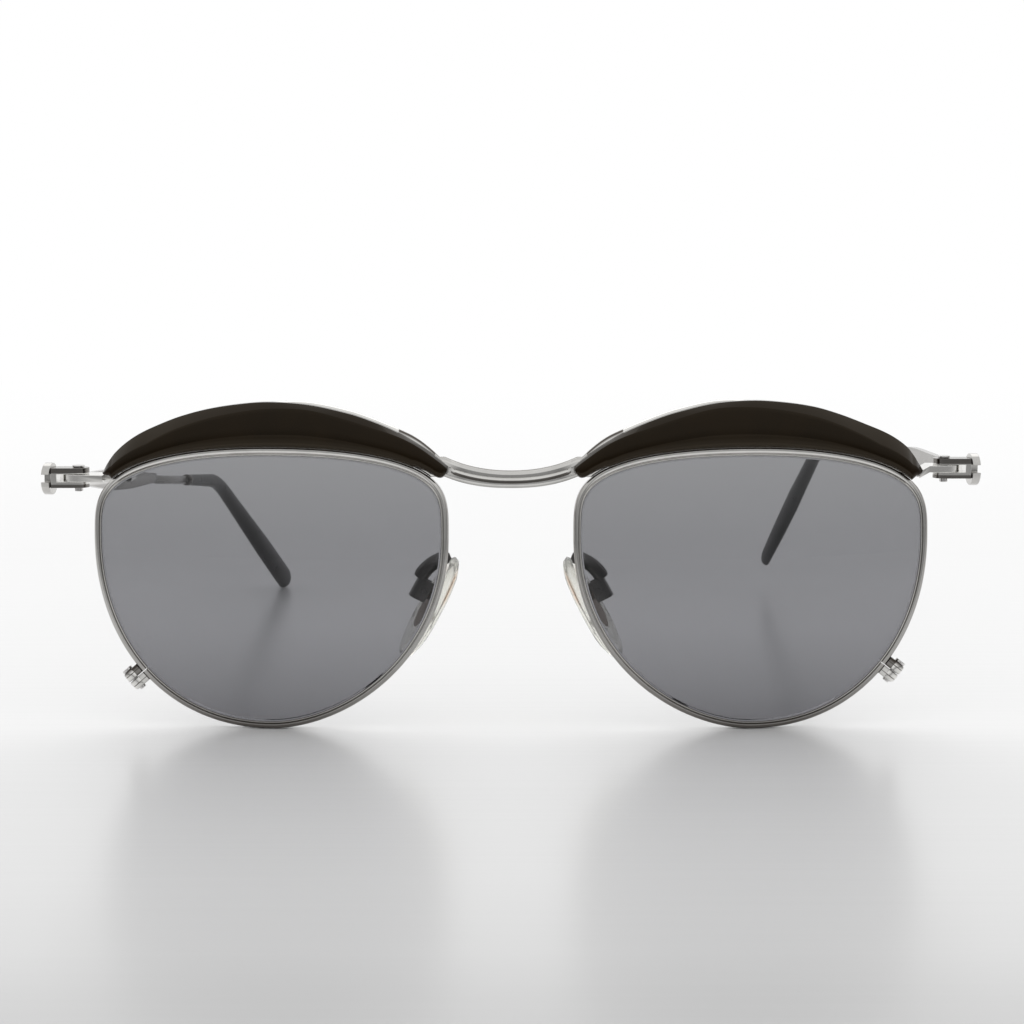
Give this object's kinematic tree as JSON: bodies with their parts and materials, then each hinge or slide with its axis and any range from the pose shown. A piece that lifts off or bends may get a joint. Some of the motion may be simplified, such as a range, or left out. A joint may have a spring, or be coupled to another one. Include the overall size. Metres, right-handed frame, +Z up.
{
  "type": "round browline sunglasses",
  "caption": "Round metal sunglasses with grey lenses, dark acetate brows on a bridge bar, rocking nose pads on wire arms and folding wire temples with plastic tips.",
  "frame": {"origin": "middle of the bounding box in X and Y, on the table that the rims and the left temple tip stand on", "axes": "+X to the right as seen from ahead, -Y is the side that looks ahead, the open temples run along +Y, +Z up"},
  "size_m": [0.1374, 0.1426, 0.0481],
  "materials": {
    "frame_metal": "polished nickel silver, light grey",
    "screw": "turned steel",
    "acetate": "polished very dark brown acetate",
    "tip": "near-black satin gloss",
    "lens": "neutral grey, a little lighter at the top",
    "pad": "clear silicone",
    "insert": "coppery metal"
  },
  "bodies": {
    "front": {"brow_bar": "frame_metal", "brow_left": "acetate", "brow_right": "acetate", "brow_screw_inner_left": "screw", "brow_screw_inner_right": "screw", "brow_screw_outer_left": "screw", "brow_screw_outer_right": "screw", "closing_barrel_lower_left": "frame_metal", "closing_barrel_lower_right": "frame_metal", "closing_barrel_upper_left": "frame_metal", "closing_barrel_upper_right": "frame_metal", "closing_screw_left": "screw", "closing_screw_right": "screw", "end_plate_left": "frame_metal", "end_plate_right": "frame_metal", "lens_left": "lens", "lens_right": "lens", "pad_arm_left": "frame_metal", "pad_arm_right": "frame_metal", "pad_box_left": "frame_metal", "pad_box_right": "frame_metal", "pad_screw_left": "screw", "pad_screw_right": "screw", "rim_left": "frame_metal", "rim_right": "frame_metal"},
    "temple_left": {"temple_left": "frame_metal", "hinge_fork_left": "frame_metal", "hinge_screw_left": "screw", "temple_collar_left": "frame_metal", "temple_tip_left": "tip"},
    "temple_right": {"temple_right": "frame_metal", "hinge_fork_right": "frame_metal", "hinge_screw_right": "screw", "temple_collar_right": "frame_metal", "temple_tip_right": "tip"},
    "nose_pad_left": {"nose_pad_left": "pad", "pad_insert_left": "insert"},
    "nose_pad_right": {"nose_pad_right": "pad", "pad_insert_right": "insert"}
  },
  "joints": [
    {"name": "temple_left_fold", "type": "hinge", "parent": "front", "child": "temple_left", "pos_m": [-0.06356, -0.06273, 0.0363], "axis": [0, 0, -1], "range_deg": [0, 80]},
    {"name": "temple_right_fold", "type": "hinge", "parent": "front", "child": "temple_right", "pos_m": [0.06364, -0.06273, 0.0377], "axis": [0, 0, 1], "range_deg": [0, 80]},
    {"name": "nose_pad_left_rock", "type": "hinge", "parent": "front", "child": "nose_pad_left", "pos_m": [-0.01316, -0.06213, 0.01961], "axis": [-0.2264, 0.9659, 0.1255], "range_deg": [-10, 10]},
    {"name": "nose_pad_right_rock", "type": "hinge", "parent": "front", "child": "nose_pad_right", "pos_m": [0.01324, -0.06213, 0.01961], "axis": [0.2264, 0.9659, 0.1255], "range_deg": [-10, 10]}
  ]
}
